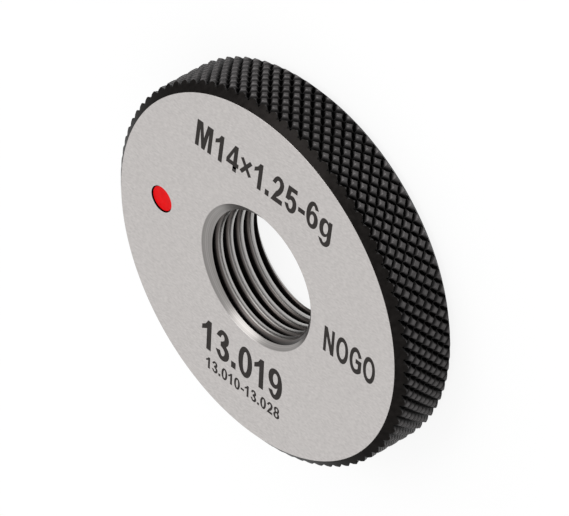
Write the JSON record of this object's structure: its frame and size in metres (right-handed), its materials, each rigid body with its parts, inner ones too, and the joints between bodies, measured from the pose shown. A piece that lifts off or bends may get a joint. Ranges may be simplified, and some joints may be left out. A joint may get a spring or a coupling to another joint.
{
  "type": "thread ring gauge",
  "caption": "Flat steel ring with a diamond-knurled rim, bevelled edges, a fine threaded bore with countersunk ends and a small round red marker in one face.",
  "frame": {"origin": "on the thread's axis, in the plane of the lower face that the ring lies on", "axes": "+Z along the thread's axis, towards the marked face; +X is the reading direction of the marks"},
  "size_m": [0.038, 0.038, 0.0067],
  "materials": {
    "gauge_steel": "ground faces and thread, blackened knurled rim and bevels",
    "marker_enamel": "gloss red enamel"
  },
  "bodies": {
    "root": {"gauge_ring": "gauge_steel", "marker_dot": "marker_enamel"}
  },
  "joints": []
}
